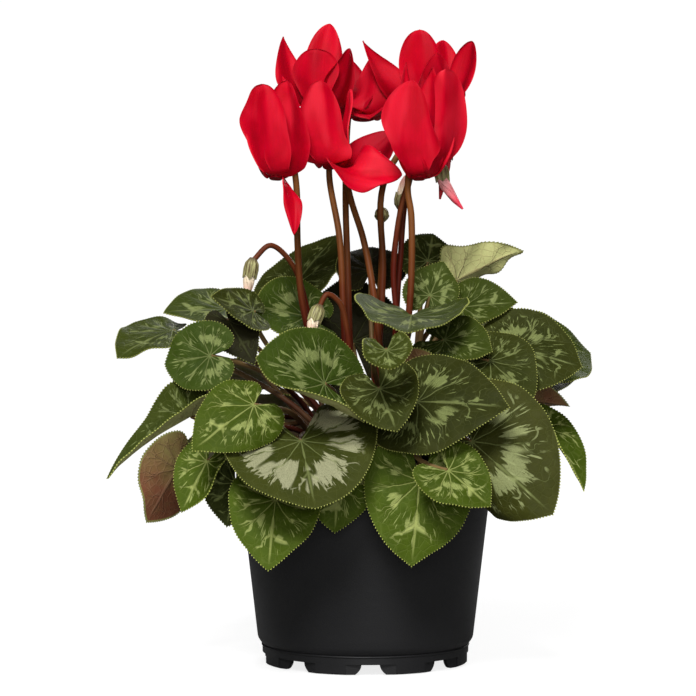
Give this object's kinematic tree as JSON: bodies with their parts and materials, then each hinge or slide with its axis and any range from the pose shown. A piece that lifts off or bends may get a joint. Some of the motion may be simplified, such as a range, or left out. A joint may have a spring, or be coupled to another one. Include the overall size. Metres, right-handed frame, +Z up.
{
  "type": "potted cyclamen",
  "caption": "Flowering cyclamen in a round nursery pot: a mound of marbled heart-shaped leaves, with red blooms nodding above it on bare stalks.",
  "frame": {"origin": "middle of the pot's foot, on the surface that the pot stands on", "axes": "+Z up along the pot's axis, the pictured side towards -Y, +X to the right of the picture"},
  "size_m": [0.2429, 0.2419, 0.3213],
  "materials": {
    "pot": "satin black injection-moulded polypropylene",
    "soil": "dark crumbly potting mix",
    "tuber": "rough brown corky skin",
    "leaf": "dark green leaf with silver marbling, satin",
    "young_leaf": "fresh yellow-green leaf with pale marbling, satin",
    "petal": "bright red velvety petal",
    "stalk": "red-brown fleshy stalk, satin",
    "bud_pale": "cream and pale pink furled petals",
    "bud_pink": "pink furled petals",
    "seed_pod": "dark green-brown pod"
  },
  "bodies": {
    "root": {"pot": "pot", "soil": "soil", "tuber": "tuber", "flower_front_left": "petal", "flower_middle_left": "petal", "flower_back_left": "petal", "flower_back_middle": "petal", "flower_back_right": "petal", "flower_front_right": "petal", "stalk_front_left": "stalk", "stalk_middle_left": "stalk", "stalk_back_left": "stalk", "stalk_back_middle": "stalk", "stalk_back_right": "stalk", "stalk_front_right": "stalk", "bud_left": "bud_pale", "bud_middle": "bud_pale", "bud_right_high": "petal", "bud_right_low": "bud_pink", "bud_small": "bud_pale", "bud_stalk_left": "stalk", "bud_stalk_middle": "stalk", "bud_stalk_right_high": "stalk", "bud_stalk_right_low": "stalk", "bud_stalk_small": "stalk", "seed_pod": "seed_pod", "leaf_01": "leaf", "leaf_02": "leaf", "leaf_03": "young_leaf", "leaf_04": "young_leaf", "leaf_05": "young_leaf", "leaf_06": "leaf", "leaf_07": "leaf", "leaf_08": "young_leaf", "leaf_09": "leaf", "leaf_10": "leaf", "leaf_11": "young_leaf", "leaf_12": "leaf", "leaf_13": "leaf", "leaf_14": "leaf", "leaf_15": "leaf", "leaf_16": "leaf", "leaf_17": "leaf", "leaf_18": "leaf", "leaf_19": "young_leaf", "leaf_20": "young_leaf", "leaf_21": "leaf", "leaf_22": "young_leaf", "leaf_23": "leaf", "leaf_24": "leaf", "leaf_25": "leaf", "leaf_26": "leaf", "leaf_27": "leaf", "leaf_28": "leaf", "leaf_29": "leaf", "leaf_30": "leaf", "leaf_31": "leaf", "leaf_32": "leaf", "leaf_33": "leaf"}
  },
  "joints": []
}
